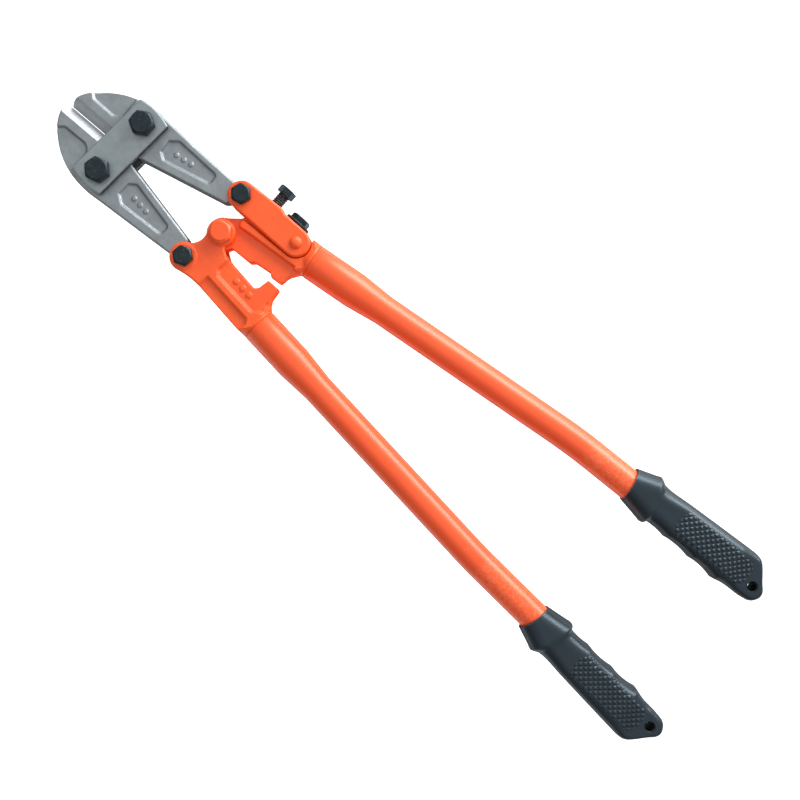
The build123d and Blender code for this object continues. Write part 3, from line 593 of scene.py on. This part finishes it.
# ---------------------------------------------------------------- grips, in mm and degrees
GRIP_TILT = {"upper": (1.4, 1), "lower": (-4.4, -1)}  # axis angle, and which side is inner
HOLE_ALONG, HOLE_IN, HOLE_RADIUS = 113.0, 2.4, 3.3
HOLE_MARGIN = 0.05
HOLE_STEPS = 48
HOLE_RIM = [(8.2, HOLE_RADIUS), (8.9, 3.45), (9.5, 4.0), (12, 5.2)]  # height and radius
BORE_RADIUS = 11.1
BORE_RIM = 0.5
BORE_DEPTH = 5.0
RING_POINTS = 232
RING_MARGIN = 0.2
GRIP_LENGTH = 122.8
LATTICE_FROM, LATTICE_TO = 38, 110
PLAIN_STEP, LATTICE_STEP, END_STEPS = 0.7, 0.45, 34
PATCH = (74.5, -1.3, 31.5, 9.8, 7.0)  # centre along and across, half sizes, corner radius
PATCH_FADE = 1.2
PATCH_PITCH = 3.4
PATCH_FLANK = 0.8
PATCH_RISE = 1.0
PATCH_SINK = 0.2
LEVEL_FROM, LEVEL_TO = 0.3, 0.8  # the lattice rises where the face turns level
COLLAR_REACH = 14.0
COLLAR_END = 30.0
GRIP_SHARP = 50
GRIP_TABLE = np.array([
    # along, outer side, half thickness, corner radius
    (0.0, 12.8, 12.8, 12.4),
    (9.0, 15.6, 14.5, 12.4),
    (15.6, 17.7, 15.6, 12.4),
    (17.2, 18.3, 15.8, 12.2),
    (19.0, 17.5, 15.6, 12.0),
    (22.5, 15.6, 15.0, 11.5),
    (28.0, 15.15, 14.4, 10.5),
    (45.0, 16.0, 14.2, 8.5),
    (89.3, 17.8, 13.6, 8.5),
    (97.0, 18.1, 11.6, 7.0),
    (101.0, 18.2, 10.5, 6.0),
    (103.5, 17.9, 10.0, 5.0),
    (106.3, 17.2, 9.9, 4.5),
    (108.4, 16.1, 9.8, 4.5),
    (110.2, 14.5, 9.7, 4.5),
    (119.6, 3.0, 9.6, 4.5),
    (120.6, 2.08, 9.4, 4.5),
    (121.6, 0.78, 8.9, 4.0),
    (122.3, -0.61, 8.2, 2.5),
    (122.8, -2.47, 7.2, 1.2),
])
INNER_FRONT = np.array([(0.0, 11.9), (15.6, 15.2), (17.2, 15.6), (19.0, 15.0), (22.5, 13.5),
                        (26.0, 12.8)])
INNER_END = np.array([(104.0, 12.6), (112.0, 12.5), (116.5, 12.0), (118.6, 11.14),
                      (120.5, 9.66), (121.8, 7.92), (122.5, 6.3), (122.8, 5.0)])
INNER_WAVES = [
    # from, to, heights at both, sag between
    (26.0, 45.3, 12.8, 13.0, 0.9),
    (45.3, 68.0, 13.0, 13.6, 1.15),
    (68.0, 89.3, 13.6, 14.9, 1.3),
    (89.3, 104.0, 14.9, 12.6, 0.45),
]
COLLAR_TILT = np.array([(0.0, 2.4), (17.2, 3.4), (COLLAR_END, 0.0), (GRIP_LENGTH, 0.0)])


def smooth_table(table, at):
    """Monotone cubic curves through the columns of a table, read at many places."""
    place = table[:, 0]
    step = np.diff(place)
    rise = np.diff(table[:, 1:], axis=0) / step[:, None]
    before, after = rise[:-1], rise[1:]
    total = before + after
    same = before * after > 0
    slope = np.zeros_like(table[:, 1:])
    slope[0], slope[-1] = rise[0], rise[-1]
    slope[1:-1] = np.where(same, 2 * before * after / np.where(same, total, 1), 0)
    index = np.clip(np.searchsorted(place, at) - 1, 0, len(step) - 1)
    gap = step[index][:, None]
    t = ((at - place[index]) / step[index])[:, None]
    start, end = table[index, 1:], table[index + 1, 1:]
    return ((2 * t**3 - 3 * t**2 + 1) * start + (t**3 - 2 * t**2 + t) * gap * slope[index]
            + (3 * t**2 - 2 * t**3) * end + (t**3 - t**2) * gap * slope[index + 1])


def inner_side(at):
    """Height of the finger side along the grip."""
    height = np.where(at < INNER_FRONT[-1, 0], smooth_table(INNER_FRONT, at)[:, 0],
                      smooth_table(INNER_END, at)[:, 0])
    for start, end, low, high, sag in INNER_WAVES:
        t = (at - start) / (end - start)
        wave = low + (high - low) * t - 4 * sag * t * (1 - t)
        height = np.where((at >= start) & (at <= end), wave, height)
    return height


def half_ring(outer, inner, half, corner):
    """Even steps round the upper half of a rounded rectangle, with outward normals."""
    radius = min(corner, half - RING_MARGIN, (outer + inner) / 2 - RING_MARGIN)
    side, arc, flat = half - radius, radius * pi / 2, outer + inner - 2 * radius
    lengths = np.cumsum([0, side, arc, flat, arc, side])
    at = np.linspace(0, lengths[-1], RING_POINTS // 2 + 1)
    turn_a = np.clip((at - lengths[1]) / radius, 0, pi / 2)
    turn_b = np.clip((at - lengths[3]) / radius, 0, pi / 2)
    turn = turn_a + turn_b
    across = (-outer + radius - radius * np.cos(turn_a) + np.clip(at - lengths[2], 0, flat)
              + radius * np.sin(turn_b))
    up = (np.clip(at, 0, side) + radius * np.sin(turn_a) - radius * (1 - np.cos(turn_b))
          - np.clip(at - lengths[4], 0, side))
    return across, up, -np.cos(turn), np.sin(turn)


def lattice(along, across):
    """Height of the raised diamond pattern at a place on either broad face."""
    centre_s, centre_u, half_s, half_u, corner = PATCH
    reach_s = np.maximum(np.abs(along - centre_s) - half_s + corner, 0)
    reach_u = np.maximum(np.abs(across - centre_u) - half_u + corner, 0)
    outside = np.hypot(reach_s, reach_u) - corner
    mask = np.clip(0.5 - outside / PATCH_FADE, 0, 1)
    a = (along + across) / (2**0.5 * PATCH_PITCH)
    b = (along - across) / (2**0.5 * PATCH_PITCH)
    fall = 2 * np.maximum(np.abs(a % 1 - 0.5), np.abs(b % 1 - 0.5))
    rise = np.clip((1 - fall) / PATCH_FLANK, 0, 1)
    return mask * (PATCH_RISE * rise - PATCH_SINK)


def grip_mesh(name):
    """A moulded grip in its own frame: x along from the rim, y to the inner side, z up."""
    along = np.concatenate([
        np.arange(0, LATTICE_FROM, PLAIN_STEP),
        np.arange(LATTICE_FROM, LATTICE_TO, LATTICE_STEP),
        LATTICE_TO + (GRIP_LENGTH - LATTICE_TO) * np.sin(np.linspace(0, pi / 2, END_STEPS))])
    table = smooth_table(GRIP_TABLE, along)
    inner = inner_side(along)
    tilt = smooth_table(COLLAR_TILT, along)[:, 0]
    rings = []
    for index, place in enumerate(along):
        outer, half, corner = table[index]
        across, up, out_y, out_z = half_ring(outer, inner[index], half, corner)
        s = place + tilt[index] * (1 + across / COLLAR_REACH) * (place < COLLAR_END)
        level = np.clip((out_z - LEVEL_FROM) / (LEVEL_TO - LEVEL_FROM), 0, 1)
        rise = lattice(s, across) * level
        y, z = across + rise * out_y, up + rise * out_z
        ring = np.stack([s, y, z], axis=1)
        below = ring[1:-1][::-1] * (1, 1, -1)
        rings.append(np.concatenate([ring, below]))
    angle = np.arctan2(rings[0][:, 2], rings[0][:, 1])
    for radius, depth in ((BORE_RADIUS + BORE_RIM, 0.0), (BORE_RADIUS, BORE_RIM),
                          (BORE_RADIUS, BORE_DEPTH)):
        y, z = radius * np.cos(angle), radius * np.sin(angle)
        rings.insert(0, np.stack([tilt[0] * (1 + y / COLLAR_REACH) + depth, y, z], axis=1))
    count = len(rings[0])
    points = np.concatenate(rings) * MM
    faces = []
    for ring in range(len(rings) - 1):
        first, second = ring * count, (ring + 1) * count
        for k in range(count):
            nxt = (k + 1) % count
            faces.append((first + k, first + nxt, second + nxt, second + k))
    last = (len(rings) - 1) * count
    faces.append(tuple(range(last, last + count)))
    faces.append(tuple(reversed(range(count))))
    mesh = bpy.data.meshes.new(name)
    mesh.from_pydata(points.tolist(), [], faces)
    return mesh


def hole_cutter():
    """A plug for the hanging hole, wider at both ends for its rounded rim."""
    mesh = bpy.data.meshes.new("hole_cutter")
    work = bmesh.new()
    rings = []
    for z, radius in [(-z, radius) for z, radius in reversed(HOLE_RIM)] + HOLE_RIM:
        rings.append([work.verts.new((
            (HOLE_ALONG + radius * cos(2 * pi * k / HOLE_STEPS)) * MM,
            (HOLE_IN + radius * sin(2 * pi * k / HOLE_STEPS)) * MM, z * MM))
            for k in range(HOLE_STEPS)])
    for low_ring, high_ring in zip(rings, rings[1:]):
        for k in range(HOLE_STEPS):
            nxt = (k + 1) % HOLE_STEPS
            work.faces.new((low_ring[k], low_ring[nxt], high_ring[nxt], high_ring[k]))
    work.faces.new(list(reversed(rings[0])))
    work.faces.new(rings[-1])
    work.to_mesh(mesh)
    work.free()
    return bpy.data.objects.new("hole_cutter", mesh)


def build_grip(side):
    """One grip, cut for its hanging hole and put in place from the record's mount."""
    obj = bpy.data.objects.new(side + "_grip_moulded", grip_mesh(side + "_grip_moulded"))
    bpy.context.collection.objects.link(obj)
    cutter = hole_cutter()
    bpy.context.collection.objects.link(cutter)
    cut = obj.modifiers.new("hole", "BOOLEAN")
    cut.operation = "DIFFERENCE"
    cut.object = cutter
    mesh = evaluated_mesh(obj)
    bpy.data.objects.remove(cutter)
    angle, inner_sign = GRIP_TILT[side]
    along_dir = np.array((cos(radians(angle)), sin(radians(angle)), 0))
    inner_dir = inner_sign * np.array((along_dir[1], -along_dir[0], 0))
    mounts = {mount["name"]: mount for mount in frame["record"]["mounts"]}
    hole = np.array(mounts[side + "_hanging_hole"]["pos_m"])
    rim = hole - HOLE_ALONG * MM * along_dir - HOLE_IN * MM * inner_dir
    local = vertex_array(mesh).astype(float)
    mesh.materials.clear()
    mesh.materials.append(rubber)
    centre = face_array(mesh, "center")
    reach = np.hypot(centre[:, 0] - HOLE_ALONG * MM, centre[:, 1] - HOLE_IN * MM)
    # the hole's walls get painted shade
    finish_faces(mesh, rubber_hole_shade, reach < (HOLE_RADIUS + HOLE_MARGIN) * MM)
    place = (rim + np.outer(local[:, 0], along_dir) + np.outer(local[:, 1], inner_dir)
             + np.outer(local[:, 2], (0, 0, -inner_sign)))
    mesh.vertices.foreach_set("co", place.astype(np.float32).ravel())
    mesh.update()
    stand_in(obj, side + "_grip", rubber)
    mesh.set_sharp_from_angle(angle=radians(GRIP_SHARP))


for side in GRIP_TILT:
    build_grip(side)


# ---------------------------------------------------------------- floor, light and camera
FLOOR_DROP = 0.9  # the floor lies this far below the object, out of reach of its shadow
FLOOR_HALF = 14.0
FLOOR_GLOW = 0.6
FLOOR_FADE = (1.4, 3.2)  # the glow fades out between these distances from the origin
MIDDLE = (0.29, -0.01, 0.0)
LIGHT_WIDTH = 1.6
LIGHTS = [
    # name, place, height, power
    ("key", (0.30, 1.10, 0.45), 0.4, 22),
    ("low", (0.30, 1.20, -0.05), 0.35, 6),
]
SKY_DARK, SKY_BRIGHT = 0.20, 0.98
SKY_TOWARDS = (0.0, 0.6, 1.0)
SKY_SPAN = (-0.3, 1.0)  # dark up to the first value along SKY_TOWARDS, bright past the second
CAMERA_AT = (0.2963, -0.0088, 0.75)
CAMERA_TURN = 40.2
CAMERA_LENS = 47.4


def add_floor(z):
    """A plain white floor, lit from within near the object so that no shadow shows."""
    mesh = bpy.data.meshes.new("studio_floor")
    corners = [(-1, -1), (1, -1), (1, 1), (-1, 1)]
    mesh.from_pydata([(FLOOR_HALF * x, FLOOR_HALF * y, z) for x, y in corners], [],
                     [(0, 1, 2, 3)])
    floor = bpy.data.objects.new("studio_floor", mesh)
    bpy.context.collection.objects.link(floor)
    material, tree, shader = new_material("studio_white")
    reach = tree.nodes.new("ShaderNodeVectorMath")
    reach.operation = "LENGTH"
    tree.links.new(tree.nodes.new("ShaderNodeTexCoord").outputs["Object"], reach.inputs[0])
    tree.links.new(between(tree, reach.outputs["Value"], FLOOR_GLOW, 0.0, *FLOOR_FADE),
                   shader.inputs["Emission Strength"])
    shader.inputs["Base Color"].default_value = (0.85, 0.85, 0.85, 1)
    shader.inputs["Roughness"].default_value = 0.9
    shader.inputs["Specular IOR Level"].default_value = 0.0
    shader.inputs["Emission Color"].default_value = (1, 1, 1, 1)
    mesh.materials.append(material)


def add_area_light(name, place, target, size, height, power):
    """A soft rectangular light that faces its target."""
    lamp = bpy.data.lights.new(name, "AREA")
    lamp.shape = "RECTANGLE"
    lamp.size = size
    lamp.size_y = height
    lamp.energy = power
    obj = bpy.data.objects.new(name, lamp)
    obj.location = place
    obj.rotation_euler = (Vector(target) - Vector(place)).to_track_quat("-Z", "Y").to_euler()
    bpy.context.collection.objects.link(obj)


add_floor(cad_box[0][2] - FLOOR_DROP)
for name, place, height, power in LIGHTS:
    add_area_light(name, place, MIDDLE, LIGHT_WIDTH, height, power)

world = bpy.data.worlds.new("studio")
world.use_nodes = True
sky = world.node_tree
towards = sky.nodes.new("ShaderNodeVectorMath")
towards.operation = "DOT_PRODUCT"
towards.inputs[1].default_value = SKY_TOWARDS
sky.links.new(sky.nodes.new("ShaderNodeTexCoord").outputs["Generated"], towards.inputs[0])
glow = between(sky, towards.outputs["Value"], SKY_DARK, SKY_BRIGHT, *SKY_SPAN)
sky.links.new(glow, sky.nodes["Background"].inputs["Strength"])
sky.nodes["Background"].inputs["Color"].default_value = (1, 1, 1, 1)
bpy.context.scene.world = world
bpy.context.scene.view_settings.view_transform = "Standard"

camera_data = bpy.data.cameras.new("camera")
camera_data.lens = CAMERA_LENS
camera_data.clip_start = 0.01
camera = bpy.data.objects.new("camera", camera_data)
camera.location = CAMERA_AT
camera.rotation_euler = (0, 0, radians(CAMERA_TURN))
bpy.context.collection.objects.link(camera)
bpy.context.scene.camera = camera
